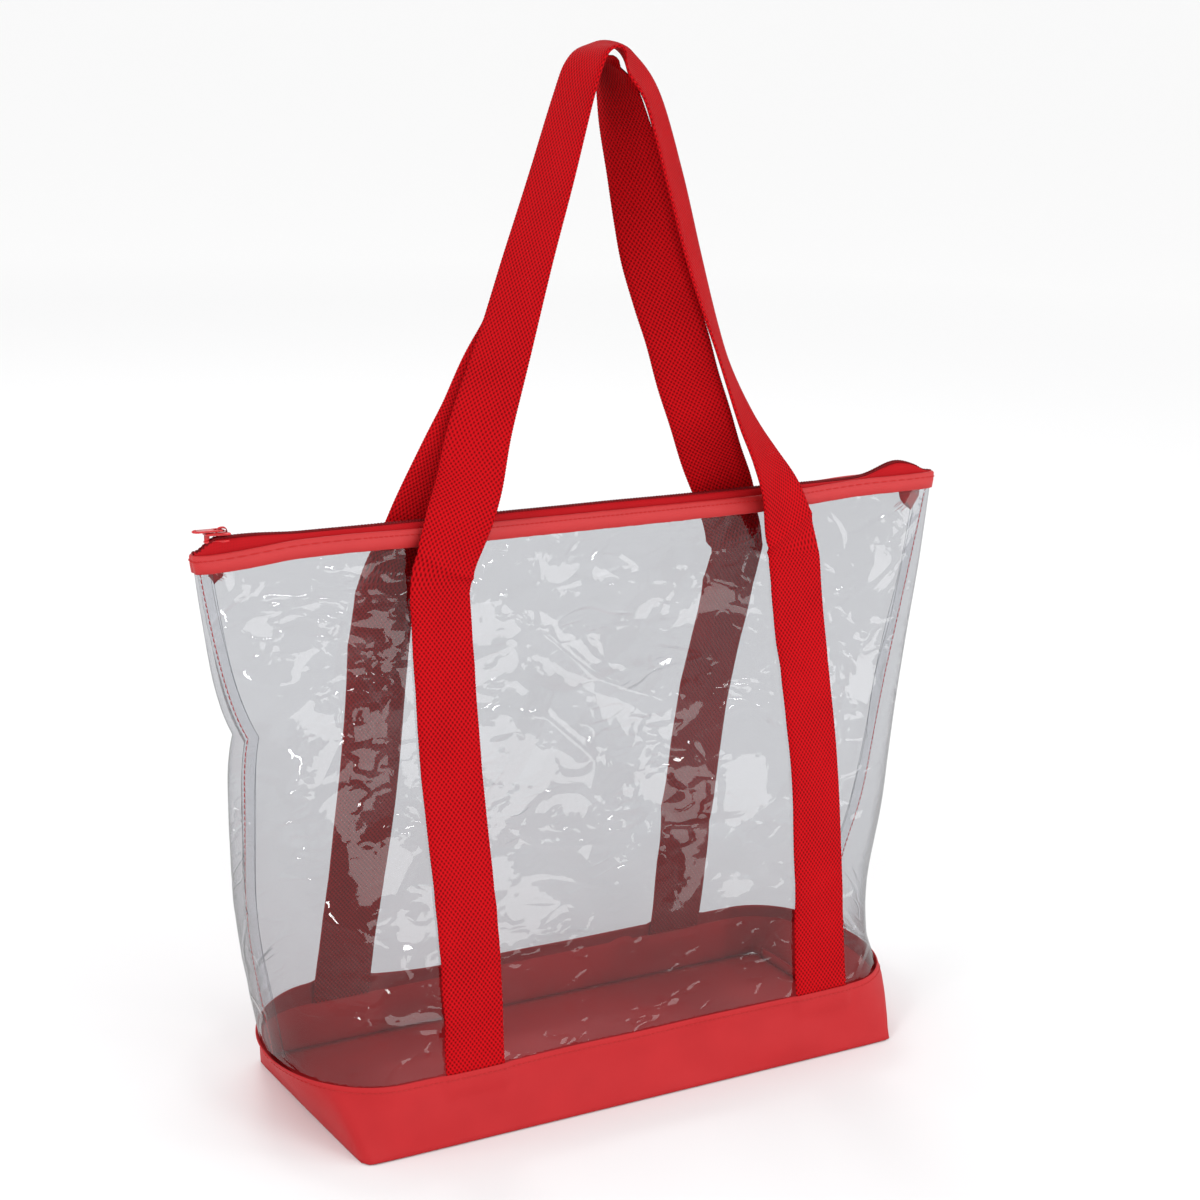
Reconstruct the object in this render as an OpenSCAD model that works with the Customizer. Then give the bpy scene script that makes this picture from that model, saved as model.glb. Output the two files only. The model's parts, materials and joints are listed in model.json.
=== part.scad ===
// Zip-top tote: clear vinyl body on a boxed fabric base, with two webbing handles.
// Millimetres. +X is to the right seen from the front, the front faces -Y, +Z is up,
// and the origin is at the middle of the floor that the bag stands on.

/* [Bag] */
// Length of the boxed base on the floor
base_l = 368; // [350:1:380]
// Depth of the boxed base on the floor, front to back
base_d = 154; // [140:1:170]
// Width at the top of the base band, where the ends bulge out
belly_w = 418; // [400:1:430]
// Width across the top, from side seam to side seam
top_w = 508; // [490:1:530]
// Height to the top edge of the binding
body_h = 343; // [330:1:360]
// Distance between the front and back vinyl at the top edge
mouth_t = 11; // [10:0.5:14]
// Height of the fabric base band
band_h = 41; // [30:1:55]

/* [Sheets] */
// Thickness of the vinyl
vinyl_t = 0.8; // [0.6:0.1:1]
// Thickness of the base fabric with its folded hem
fabric_t = 1.2; // [0.8:0.1:1.5]
// Height of the binding on the top edge
binding_h = 11.5; // [9:0.5:14]
// Thickness of one layer of binding
binding_t = 1; // [0.6:0.1:1.2]
// Thickness of the zip tape
tape_t = 0.6; // [0.4:0.1:0.8]

/* [Handles] */
// Width of the webbing
strap_w = 38; // [30:1:40]
// Thickness of the webbing
strap_t = 1.6; // [1:0.1:2]
// Distance between the two legs of one handle, centre to centre
strap_gap = 244; // [236:1:246]
// How far the front handle is sewn off centre, with the back one as far the other way
strap_shift = 10; // [6:1:12]
// Height at which the webbing leaves the vinyl
free_z = 305; // [300:1:308]

/* [Zip] */
// Height of the middle of the coils
coil_z = 352; // [351:0.5:353]
// Radius of one coil
coil_r = 1.1; // [0.8:0.1:1.2]
// Distance of each coil's middle from the zip's centre line
coil_y = 1.9; // [1.8:0.1:2.1]
// Length of the slider
slider_l = 14; // [12:1:15]
// Where the middle of the slider stands when the zip is shut
slider_x = -240; // [-242:1:-238]
// Length of the pull tab
pull_l = 17; // [14:1:20]

/* [Hidden] */

$fn = 32;
clearance = 0.3;
seam_w = 8;

// The flat middle of each face swings on the base band; the wings beside it stay.
half_flat = 156;
slope = (base_d - mouth_t) / 2 / body_h;
tilt = atan(slope);
panel_top = body_h - 1;
seam_lean = atan((top_w - belly_w) / 2 / (body_h - band_h));
sewn_gap = 0.3;
vinyl_tuck = 3;

// Handle stations: [x, y, z, turn]. The turn is the direction of the width in plan,
// 0 where the webbing lies flat against the front and -180 at the other leg.
front_stations = [
    [strap_shift - strap_gap / 2, 0, free_z, 0],
    [-110, -15.3, 325, -4], [-102, -15.3, 348, -14], [-92, -10, 370, -30], [-82, -4, 402, -46],
    [-67, -3, 449, -63], [-53.5, -3, 496, -72], [-39.5, -2, 540, -78], [-26.5, -1.5, 584, -84],
    [-20, -2, 603, -87], [-12.5, -2.5, 612, -97], [-2, -3.2, 613, -116], [8.5, -4.6, 604, -135],
    [24, -5.2, 584, -135], [40, -6.2, 540, -136], [57, -4.8, 492, -134], [78.5, 0, 444, -128],
    [88.5, 0, 420, -129], [99, -4, 395, -136], [109.5, -11, 372, -146], [120.5, -15.3, 348, -162],
    [128, -15.3, 322, -175],
    [strap_shift + strap_gap / 2, 0, free_z, -180]];
back_stations = [
    [-strap_shift - strap_gap / 2, 0, free_z, 0],
    [-120, 15.3, 328, 0], [-109, 15.5, 351, 0], [-91, 17, 383, 1], [-78.5, 18.5, 404, 3],
    [-66.5, 20.5, 428, 7], [-54.5, 22, 449, 12], [-45, 21.5, 474, 20], [-36.5, 19, 496, 30],
    [-29, 16.5, 518, 38], [-22, 14, 540, 44], [-16, 12, 562, 49], [-8.5, 11.5, 591, 54],
    [-1.5, 11.3, 605.2, 70], [8, 11.6, 594, 93], [15.8, 10.9, 568, 111], [23.5, 9.2, 541, 124],
    [29.2, 7.3, 515, 132], [34.8, 5.4, 491, 138], [44.2, 5.6, 467, 142], [54, 5.8, 444, 145],
    [63.5, 7, 419, 149], [74, 8, 395, 152], [86, 12, 370, 158], [99, 14.5, 345, 168],
    [107, 15.3, 322, 177],
    [strap_gap / 2 - strap_shift, 0, free_z, 180]];

function half_depth(z) = base_d / 2 - slope * z;
function half_width(z) = (belly_w + (top_w - belly_w) * (z - band_h) / (body_h - band_h)) / 2;
function leg_y() = half_depth(free_z) + (vinyl_t + strap_t / 2) / cos(tilt);

// A quarter of a squared-off oval as [x, y], from the side seam (angle 0) to the flat
// face (angle 90). A squareness of 2 is an ellipse, and a high one has a sharp corner.
function oval(a, width, depth, squareness) =
    let (r = 1 / pow(pow(cos(a), squareness) + pow(sin(a), squareness), 1 / squareness))
    [half_flat + clearance + (width - half_flat - clearance) * r * cos(a), -depth * r * sin(a)];

// Outline at height z: sharp corners on the floor, oval above the band, a flat lens at the top.
floor_squareness = 14;
function squareness(z) = 2 + 4 * pow((z - band_h) / (body_h - band_h), 3);
function outline(a, z) = z >= band_h
    ? oval(a, half_width(z), half_depth(z), squareness(z))
    : oval(a, base_l / 2, base_d / 2, floor_squareness) * (1 - z / band_h)
        + oval(a, belly_w / 2, half_depth(band_h), 2) * z / band_h;
function outward(a, z) =
    let (d = outline(min(a + 1, 90), z) - outline(max(a - 1, 0), z))
    [-d[1], d[0]] / norm(d);
function skin(a, z, off) = let (p = outline(a, z) + off * outward(a, z)) [p[0], p[1], z];

// Closed solid between two grids of points that have the same rows and columns.
module slab(inner, outer) {
    rows = len(inner);
    cols = len(inner[0]);
    half = rows * cols;
    points = [for (grid = [inner, outer]) for (row = grid) each row];
    faces = [
        for (i = [0 : rows - 2]) for (j = [0 : cols - 2])
            let (p = i * cols + j, q = p + half)
            each [[p, p + 1, p + cols + 1], [p, p + cols + 1, p + cols],
                  [q, q + cols + 1, q + 1], [q, q + cols, q + cols + 1]],
        for (i = [0 : rows - 2])
            let (p = i * cols, q = p + cols - 1)
            each [[p, p + cols, half + p + cols], [p, half + p + cols, half + p],
                  [q, half + q, half + q + cols], [q, half + q + cols, q + cols]],
        for (j = [0 : cols - 2])
            let (p = j, q = (rows - 1) * cols + j)
            each [[p, half + p, half + p + 1], [p, half + p + 1, p + 1],
                  [q, q + 1, half + q + 1], [q, half + q + 1, half + q]]];
    polyhedron(points, faces, convexity = 4);
}

// Curved end of a sheet in the right front quarter, at these heights and between two offsets.
module end_sheet(heights, off_in, off_out, a_low = 2) {
    angles = [for (j = [0 : 10]) a_low + (90 - a_low) * j / 10];
    slab([for (z = heights) [for (a = angles) skin(a, z, off_in)]],
         [for (z = heights) [for (a = angles) skin(a, z, off_out)]]);
}

function steps(low, high, count) = [for (i = [0 : count]) low + (high - low) * i / count];

module quarter(side_x, side_y) {
    mirror([side_x < 0 ? 1 : 0, 0, 0])
        mirror([0, side_y > 0 ? 1 : 0, 0])
            children();
}

module face_side(side_y) {
    mirror([0, side_y > 0 ? 1 : 0, 0])
        translate([0, -base_d / 2, 0])
            rotate([-tilt, 0, 0])
                children();
}

// A flat strip on the sloping face, from depth_in to depth_out outside its middle.
module face_strip(x_mid, width, z_low, z_high, depth_in, depth_out) {
    translate([x_mid - width / 2, -depth_out, z_low / cos(tilt)])
        cube([width, depth_out - depth_in, (z_high - z_low) / cos(tilt)]);
}

module base_floor() {
    front_right = [for (a = [0 : 9 : 90]) outline(a, 0)];
    back_right = [for (a = [90 : -9 : 9]) let (p = outline(a, 0)) [p[0], -p[1]]];
    right = concat(back_right, front_right);
    left = [for (i = [len(right) - 1 : -1 : 0]) [-right[i][0], right[i][1]]];
    color("firebrick")
        linear_extrude(fabric_t)
            polygon(concat(right, left));
}

band_in = vinyl_t + sewn_gap;
module base_band(side_y) {
    angles = [for (j = [0 : 10]) 9 * j];
    color("firebrick")
        mirror([0, side_y > 0 ? 1 : 0, 0])
            slab([for (z = [0, band_h]) band_row(z, band_in, angles)],
                 [for (z = [0, band_h]) band_row(z, band_in + fabric_t, angles)]);
}

function band_row(z, off, angles) = concat(
    [for (a = angles) skin(a, z, off)],
    [for (j = [len(angles) - 1 : -1 : 0]) let (p = skin(angles[j], z, off)) [-p[0], p[1], z]]);

module corner_seam(side_x) {
    color("firebrick")
        quarter(side_x, -1)
            translate([base_l / 2 - 3, -base_d / 2 + 12, fabric_t])
                cube([fabric_t, base_d - 24, seam_w]);
}

module side_seam(side_x) {
    color("lightgray")
        quarter(side_x, -1)
            translate([belly_w / 2, 0, band_h])
                rotate([0, seam_lean, 0])
                    translate([-1 - seam_w, -vinyl_t, 0])
                        cube([seam_w, 2 * vinyl_t, panel_top - band_h]);
}

module wing(side_x, side_y) {
    color("lightgray", 0.4)
        quarter(side_x, side_y)
            end_sheet(concat(band_h - vinyl_tuck, steps(band_h, panel_top, 8)), 0, vinyl_t);
}

module binding_end(side_x) {
    color("indianred")
        for (side_y = [-1, 1])
            quarter(side_x, side_y)
                end_sheet(steps(body_h - binding_h, body_h, 2),
                    vinyl_t + sewn_gap, vinyl_t + sewn_gap + binding_t);
}

tape_top = coil_z - coil_r - 0.2;
module zip_tape_end(side_x) {
    color("darkred")
        for (side_y = [-1, 1])
            quarter(side_x, side_y)
                end_sheet(steps(body_h - binding_h + 2, tape_top, 3),
                    -sewn_gap - tape_t, -sewn_gap, a_low = 20);
}

module coil_end(side_x) {
    length = top_w / 2 - 10 - half_flat - clearance;
    color("maroon")
        for (side_y = [-1, 1])
            quarter(side_x, side_y)
                translate([half_flat + clearance, -coil_y, coil_z])
                    rotate([0, 90, 0])
                        cylinder(h = length, r = coil_r);
}

// Cut end of the zip tape, folded down inside the corner under the binding.
module zip_tail(side_x) {
    color("darkred")
        quarter(side_x, -1)
            translate([top_w / 2 - 17, tape_t / 2, body_h - binding_h])
                rotate([90, 0, 0])
                    linear_extrude(tape_t)
                        polygon([[-14, 0], [2, 0], [-2, -11], [-7, -16], [-11, -9]]);
}

module panel(side_y) {
    color("lightgray", 0.4)
        face_side(side_y)
            face_strip(0, 2 * half_flat, band_h + 1, panel_top, 0, vinyl_t);
}

module binding(side_y) {
    color("indianred")
        face_side(side_y)
            face_strip(0, 2 * half_flat, body_h - binding_h, body_h,
                vinyl_t + sewn_gap, vinyl_t + sewn_gap + binding_t);
}

module zip_tape(side_y) {
    color("darkred")
        face_side(side_y)
            face_strip(0, 2 * half_flat, body_h - binding_h + 2, tape_top,
                -sewn_gap - tape_t, -sewn_gap);
}

module zip_coil(side_y) {
    color("maroon")
        translate([-half_flat, side_y * coil_y, coil_z])
            rotate([0, 90, 0])
                cylinder(h = 2 * half_flat, r = coil_r);
}

module leg(side_y, x_mid) {
    color("red")
        face_side(side_y)
            face_strip(x_mid, strap_w, band_h + 2, free_z - 1.5, vinyl_t, vinyl_t + strap_t);
}

// A smooth path through the stations, a few rings to each stretch between two of them.
rings_per_stretch = 2;
function blend4(a, b, c, d, t) =
    0.5 * (2 * b + (c - a) * t + (2 * a - 5 * b + 4 * c - d) * t * t
        + (3 * b - a - 3 * c + d) * t * t * t);
function smooth(stations) =
    let (last = len(stations) - 1)
    concat(
        [for (i = [0 : last - 1]) for (k = [0 : rings_per_stretch - 1])
            blend4(stations[max(i - 1, 0)], stations[i], stations[i + 1],
                stations[min(i + 2, last)], k / rings_per_stretch)],
        [stations[last]]);
function place(s) = [s[0], s[1], s[2]];
function unit(v) = v / norm(v);

// Webbing swept along the path, its width square to the path and turned as stated.
module webbing(stations) {
    path = smooth(stations);
    last = len(path) - 1;
    along = [for (i = [0 : last])
        i == 0 ? [0, 0, 1]
        : i == last ? [0, 0, -1]
        : unit(place(path[i + 1]) - place(path[i - 1]))];
    across = [for (i = [0 : last])
        let (level = [cos(path[i][3]), sin(path[i][3]), 0])
        unit(level - (level * along[i]) * along[i])];
    faces = [for (side = [-1, 1])
        [for (i = [0 : last]) [for (end = [-1, 1])
            place(path[i]) + end * across[i] * strap_w / 2
                + side * cross(along[i], across[i]) * strap_t / 2]]];
    slab(faces[0], faces[1]);
}

// The first and last stations stand just above the sewn legs.
function on_leg(stations, side_y) =
    let (last = len(stations) - 1)
    [for (i = [0 : last])
        let (s = stations[i])
        i == 0 || i == last ? [s[0], side_y * (leg_y() + clearance), free_z + 1.2, s[3]] : s];

module handle_loop(stations, side_y) {
    color("red")
        webbing(on_leg(stations, side_y));
}

plate_t = 1.2;
plate_gap = 0.4;
slider_w = 9.2;
plate_low = coil_z - coil_r - plate_gap - plate_t;
plate_high = coil_z + coil_r + plate_gap;
lip_t = 0.7;
post_w = 1;
bridge_w = 2;
bridge_z = plate_high + plate_t;
pin_r = 0.6;
pull_pin_x = slider_x + 3;
pull_pin_z = bridge_z + 1.3;

module slider_body() {
    color("crimson")
        translate([slider_x - slider_l / 2, 0, 0]) {
            translate([0, -slider_w / 2, plate_high])
                cube([slider_l, slider_w, plate_t]);
            translate([0, -2.2, plate_low])
                cube([slider_l, 4.4, plate_t]);
            translate([0, -post_w / 2, plate_low + plate_t])
                cube([3, post_w, plate_high - plate_low - plate_t]);
            for (side_y = [-1, 1])
                translate([0, side_y * (slider_w - lip_t) / 2 - lip_t / 2, plate_high - 1.2])
                    cube([slider_l, lip_t, 1.2]);
        }
}

// Arch over the slider that the pull hangs in, open along Y.
module slider_bridge() {
    color("crimson")
        translate([0, bridge_w / 2, 0])
            rotate([90, 0, 0])
                linear_extrude(bridge_w)
                    difference() {
                        translate([pull_pin_x - 3.6, bridge_z])
                            square([7.2, 3.4]);
                        translate([pull_pin_x - 2.4, bridge_z])
                            square([4.8, 2.4]);
                    }
}

module pull_tab() {
    ring_in = bridge_w + 1;
    ring_out = ring_in + 2.4;
    color("crimson") {
        translate([pull_pin_x, ring_out / 2, pull_pin_z])
            rotate([90, 0, 0])
                cylinder(h = ring_out, r = pin_r);
        for (side_y = [-1, 1])
            translate([pull_pin_x - 5.5, side_y * (ring_in + 1.2) / 2 - 0.6, pull_pin_z - pin_r])
                cube([5.5, 1.2, 2 * pin_r]);
        translate([pull_pin_x - pull_l + 2.7, 0, pull_pin_z - pin_r])
            linear_extrude(2 * pin_r)
                hull() {
                    circle(d = ring_out);
                    translate([pull_l - 10, -ring_out / 2])
                        square([2, ring_out]);
                }
    }
}

base_floor();
base_band(-1);  // base_band_front
base_band(1);  // base_band_back
corner_seam(-1);  // corner_seam_left
corner_seam(1);  // corner_seam_right
side_seam(-1);  // side_seam_left
side_seam(1);  // side_seam_right
wing(-1, -1);  // wing_front_left
wing(1, -1);  // wing_front_right
wing(-1, 1);  // wing_back_left
wing(1, 1);  // wing_back_right
binding_end(-1);  // binding_left_end
binding_end(1);  // binding_right_end
zip_tape_end(-1);  // zip_tape_left_end
zip_tape_end(1);  // zip_tape_right_end
coil_end(-1);  // zip_coil_left_end
coil_end(1);  // zip_coil_right_end
zip_tail(-1);  // zip_tail_left
zip_tail(1);  // zip_tail_right
panel(-1);  // front_panel
binding(-1);  // front_binding
zip_tape(-1);  // front_zip_tape
zip_coil(-1);  // front_zip_coil
leg(-1, strap_shift - strap_gap / 2);  // front_leg_left
leg(-1, strap_shift + strap_gap / 2);  // front_leg_right
panel(1);  // back_panel
binding(1);  // back_binding
zip_tape(1);  // back_zip_tape
zip_coil(1);  // back_zip_coil
leg(1, -strap_shift - strap_gap / 2);  // back_leg_left
leg(1, strap_gap / 2 - strap_shift);  // back_leg_right
handle_loop(front_stations, -1);  // front_handle_loop
handle_loop(back_stations, 1);  // back_handle_loop
slider_body();
slider_bridge();
pull_tab();
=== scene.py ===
import json
import math
import random

import bmesh
import bpy
from mathutils import Matrix, Vector, noise


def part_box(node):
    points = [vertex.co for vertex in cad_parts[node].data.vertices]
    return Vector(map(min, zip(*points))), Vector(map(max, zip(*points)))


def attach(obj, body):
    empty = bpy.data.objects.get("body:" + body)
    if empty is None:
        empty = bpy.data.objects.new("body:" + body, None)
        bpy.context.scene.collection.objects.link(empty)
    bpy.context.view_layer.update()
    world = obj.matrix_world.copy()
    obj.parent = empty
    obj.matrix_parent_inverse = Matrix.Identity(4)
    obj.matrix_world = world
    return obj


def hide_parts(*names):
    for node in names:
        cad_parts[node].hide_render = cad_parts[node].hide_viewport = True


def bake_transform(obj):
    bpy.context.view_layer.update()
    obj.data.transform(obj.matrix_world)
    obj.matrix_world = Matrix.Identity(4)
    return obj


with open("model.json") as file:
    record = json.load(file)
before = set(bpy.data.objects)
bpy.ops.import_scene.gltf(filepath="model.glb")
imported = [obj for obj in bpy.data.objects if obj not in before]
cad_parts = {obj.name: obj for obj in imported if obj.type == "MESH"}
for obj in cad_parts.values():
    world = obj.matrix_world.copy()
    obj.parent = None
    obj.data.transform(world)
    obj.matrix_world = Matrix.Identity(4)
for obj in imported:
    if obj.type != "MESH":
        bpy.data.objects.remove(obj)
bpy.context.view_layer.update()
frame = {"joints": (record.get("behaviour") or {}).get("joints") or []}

random.seed(7)

# ---------------------------------------------------------------- sizes, from the frame
MM = 0.001
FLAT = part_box("front_panel")[1][0]
BASE_X, BASE_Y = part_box("base_floor")[1][:2]
BAND_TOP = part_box("base_band_front")[1][2]
BINDING_LOW, BODY_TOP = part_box("front_binding")[0][2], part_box("front_binding")[1][2]
TOP_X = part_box("wing_front_right")[1][0] - 0.8 * MM
MOUTH = 5.5 * MM                                            # half the closed mouth's depth
BELLY_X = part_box("base_band_front")[1][0] - 2.3 * MM        # the vinyl, inside the band's cloth
COIL_Z = (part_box("front_zip_coil")[0][2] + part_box("front_zip_coil")[1][2]) / 2
LEG_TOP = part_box("front_leg_left")[1][2]
STRAP_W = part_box("front_leg_left")[1][0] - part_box("front_leg_left")[0][0]
STRAP_T = 1.6 * MM                                          # thickness of the webbing
VINYL = 0.5 * MM                                            # thickness of the clear sheet

HALVES = {"front": -1, "back": 1}                           # each face and its direction in y
LEGS = {
    side: [(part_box(f"{side}_leg_{end}")[0][0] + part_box(f"{side}_leg_{end}")[1][0]) / 2
           for end in ("left", "right")]
    for side in HALVES
}
END_NAMES = {-1: "left", 1: "right"}
PULL_HINGE = next(joint for joint in frame["joints"] if joint["name"] == "pull_flip")["pos_m"]
SPLIT = {side: LEGS[side][0] + 4 * MM for side in HALVES}   # where the two pieces of a layer meet


def ramp(value, low, high):
    """0 below low, 1 above high, smooth between."""
    t = min(max((value - low) / (high - low), 0.0), 1.0)
    return t * t * (3 - 2 * t)


def bell(value):
    return math.exp(-value * value)


def wave(x, y, z=0.0):
    return noise.noise(Vector((x, y, z)))


# ---------------------------------------------------------------- the shell of the bag
END_SHARE = 0.34      # share of each face, in s, that bends round to the side seam
REACH = FLAT / (1 - END_SHARE)
FLOOR_SQUARENESS = 22


def half_depth(z):
    """Half the depth of the plain shell, which closes up from the base to the mouth."""
    return BASE_Y - (BASE_Y - MOUTH) * z / BODY_TOP


def seam_shift(z, end):
    """How far outwards the real side seam strays from the straight one."""
    if end < 0:
        kink = 8 * MM * math.exp(-abs(z - 0.235) / 0.020)
        bulge = 7 * MM * bell((z - 0.130) / 0.065)
        return bulge - kink
    drawn_in = (7 + 4.5 * bell((z - 0.180) / 0.100)) * ramp(z, 0.030, 0.065)
    tuck = 12 * bell((z - 0.086) / 0.040)
    return -(drawn_in + tuck) * MM


def top_lift(x):
    """The top edge hangs from the handles, and rides up towards its right end."""
    left_handle = 1.3 * bell((x + 0.170) / 0.050)
    right_end = 4.0 * ramp(x, 0.100, 0.200)
    return (3.2 + left_handle + right_end) * MM * ramp(x, -TOP_X, -0.190)


def half_width(z, end):
    """How far out the seam at this end stands, above the base band."""
    straight = BELLY_X + (TOP_X - BELLY_X) * (z - BAND_TOP) / (BODY_TOP - BAND_TOP)
    return straight + seam_shift(z, end)


def oval(angle, width, depth, squareness):
    """A point of a rounded end: an ellipse at squareness 2, nearly a rectangle at 22."""
    c, s = abs(math.cos(angle)), abs(math.sin(angle))
    r = (c ** squareness + s ** squareness) ** (-1 / squareness)
    return Vector((FLAT + (width - FLAT) * r * c, depth * r * s))


def pinch(angle, z, end):
    """The seam draws the two sheets in, so they bulge on both sides of it."""
    depth = 7 * MM if end < 0 else 2.5 * MM
    return depth * bell((z - 0.200) / 0.090) * bell(angle / 0.24)


def outline(angle, z, end):
    """A quarter of the outline at height z, from the side seam (0) to the flat face (pi/2)."""
    if z >= BAND_TOP:
        rise = (z - BAND_TOP) / (BODY_TOP - BAND_TOP)
        plain = oval(angle, half_width(z, end), half_depth(z), 2 + 3 * rise ** 3)
        return plain - Vector((pinch(angle, z, end), 0))
    share = max(z, 0) / BAND_TOP
    floor = oval(angle, BASE_X, BASE_Y, FLOOR_SQUARENESS)
    top = oval(angle, half_width(BAND_TOP, end), half_depth(BAND_TOP), 2)
    return floor.lerp(top, share)


def shell(s, z, side):
    """A point of the plain shell: s runs from -1 at the left seam to 1 at the right one."""
    end = -1 if s < 0 else 1
    turn = (abs(s) - (1 - END_SHARE)) / END_SHARE
    if turn <= 0:
        x, y = abs(s) * REACH, half_depth(z)
    else:
        x, y = outline(math.pi / 2 * (1 - turn), z, end)
    lift = top_lift(end * x) * ramp(z, 0.180, BODY_TOP)
    return Vector((end * x, side * y, z + lift))


def outward(s, z, side):
    """The direction straight out of the plain shell."""
    ds, dz = 0.004, 1 * MM
    across = shell(min(s + ds, 1), z, side) - shell(max(s - ds, -1), z, side)
    up = shell(s, z + dz, side) - shell(s, z - dz, side)
    return (up.cross(across) * side).normalized()


def s_at(x):
    """The s of a point of the flat middle."""
    return x / REACH


# Broad swells of each face: x, z, half width, half height, height, in metres.
SWELLS = {
    -1: [(0.110, 0.180, 0.055, 0.085, 0.010), (-0.060, 0.120, 0.090, 0.060, 0.005),
         (-0.150, 0.225, 0.050, 0.060, -0.004), (0.020, 0.270, 0.080, 0.035, -0.004)],
    1: [(0.100, 0.190, 0.080, 0.080, 0.013), (-0.120, 0.170, 0.070, 0.080, -0.007),
        (0.000, 0.110, 0.100, 0.050, 0.005)],
}

# Creases: the points that each runs through, then its half width and height, in metres.
CREASES = {
    -1: [
        ([(-0.240, 0.312), (-0.212, 0.305), (-0.180, 0.309), (-0.150, 0.318)], 0.005, 0.0016),
        ([(-0.232, 0.286), (-0.204, 0.275), (-0.170, 0.262)], 0.006, 0.0016),
        ([(-0.238, 0.282), (-0.219, 0.268), (-0.228, 0.236)], 0.005, 0.0020),
        ([(-0.160, 0.310), (-0.188, 0.262), (-0.222, 0.226)], 0.012, 0.0030),
        ([(-0.236, 0.222), (-0.205, 0.236), (-0.176, 0.262), (-0.150, 0.286)], 0.010, -0.0026),
        ([(-0.240, 0.199), (-0.214, 0.195), (-0.190, 0.212), (-0.176, 0.240)], 0.007, 0.0028),
        ([(-0.146, 0.290), (-0.152, 0.220), (-0.148, 0.150)], 0.010, 0.0022),
        ([(-0.200, 0.150), (-0.160, 0.120), (-0.140, 0.080)], 0.009, 0.0022),
        ([(-0.215, 0.095), (-0.170, 0.075), (-0.120, 0.070)], 0.007, 0.0020),
        ([(-0.088, 0.314), (-0.055, 0.285), (-0.012, 0.250), (0.030, 0.233), (0.080, 0.228)],
         0.008, 0.0040),
        ([(-0.020, 0.320), (0.020, 0.300), (0.070, 0.296)], 0.009, 0.0020),
        ([(-0.085, 0.240), (-0.050, 0.232), (-0.020, 0.205), (-0.022, 0.180)], 0.007, 0.0030),
        ([(0.040, 0.215), (0.060, 0.180), (0.055, 0.130)], 0.010, 0.0022),
        ([(-0.080, 0.150), (-0.020, 0.130), (0.040, 0.140)], 0.010, 0.0022),
        ([(0.160, 0.320), (0.176, 0.296), (0.168, 0.262)], 0.014, 0.0020),
        ([(0.158, 0.232), (0.180, 0.180), (0.176, 0.120)], 0.014, 0.0018),
    ],
    1: [
        ([(-0.200, 0.300), (-0.150, 0.270), (-0.110, 0.220)], 0.010, 0.0028),
        ([(-0.120, 0.310), (-0.060, 0.290), (0.000, 0.300)], 0.009, 0.0024),
        ([(-0.060, 0.250), (0.000, 0.220), (0.050, 0.230), (0.110, 0.205)], 0.010, 0.0034),
        ([(0.060, 0.315), (0.090, 0.285), (0.140, 0.275)], 0.008, 0.0026),
        ([(0.130, 0.250), (0.170, 0.210), (0.210, 0.200)], 0.010, 0.0026),
        ([(-0.220, 0.220), (-0.180, 0.190), (-0.150, 0.130)], 0.010, 0.0026),
        ([(-0.100, 0.160), (-0.040, 0.120), (0.010, 0.110)], 0.010, 0.0026),
        ([(0.060, 0.150), (0.110, 0.110), (0.170, 0.105)], 0.010, 0.0024),
        ([(-0.160, 0.085), (-0.190, 0.110), (-0.205, 0.150)], 0.008, 0.0020),
    ],
}


def to_segment(point, start, stop):
    """Distance from the segment, and how far along it, from 0 to 1."""
    line = stop - start
    share = min(max((point - start).dot(line) / line.length_squared, 0), 1)
    return (point - start - line * share).length, share


def crease(point, path, width, height):
    """A ridge with a narrow crest along the path, dying out at both ends."""
    stations = [Vector(p) for p in path]
    best, place = 1.0, 0.0
    for i in range(len(stations) - 1):
        distance, share = to_segment(point, stations[i], stations[i + 1])
        if distance < best:
            best, place = distance, (i + share) / (len(stations) - 1)
    if best > 5 * width:
        return 0.0
    fade = ramp(place, -0.02, 0.3) * ramp(1 - place, -0.02, 0.3)
    return height * fade * math.exp(-math.sqrt((best / width) ** 2 + 0.02) + 0.14)


# The crease network at three sizes: length and width of a cell, height, slant, seed.
NETWORK = [(0.130, 0.055, 4.4 * MM, 0.7, 3.1), (0.060, 0.028, -1.5 * MM, -0.6, 8.7),
           (0.026, 0.012, 0.42 * MM, 0.9, 5.3)]


def crumple(u, z, side):
    """The soft network of creases that thin vinyl keeps from being folded."""
    bend = 0.035 * wave(u * 9, z * 9, side * 5)
    out = 3.0 * MM * wave(u * 8, z * 8, side * 2.3)
    for length, width, height, slant, seed in NETWORK:
        along = u * math.cos(slant) + z * math.sin(slant) + bend
        across = z * math.cos(slant) - u * math.sin(slant) + bend
        ridge = abs(wave(along / length, across / width, side * seed))
        patch = 0.25 + 0.75 * ramp(wave(u * 13, z * 13, side * seed + 40), -0.15, 0.30)
        out += height * patch * (0.22 - ridge)
    busy = 0.75 + (0.10 if u < 0 else -0.60) * ramp(abs(u), 0.10, 0.19) + 0.25 * ramp(0.14 - z, 0, 0.06)
    return busy * out


def relief(s, z, side):
    """How far the real face stands out from the plain shell."""
    free = (ramp(z, BAND_TOP - 1 * MM, BAND_TOP + 35 * MM) * ramp(BODY_TOP - z, 12 * MM, 50 * MM)
            * ramp(1 - abs(s), 0.0, 0.16))
    if free <= 0:
        return 0.0
    u = s * REACH
    point = Vector((u, z))
    out = sum(h * bell((u - x) / w) * bell((z - y) / t) for x, y, w, t, h in SWELLS[side])
    out += sum(crease(point, *fold) for fold in CREASES[side])
    return free * (out + crumple(u, z, side))


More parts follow.
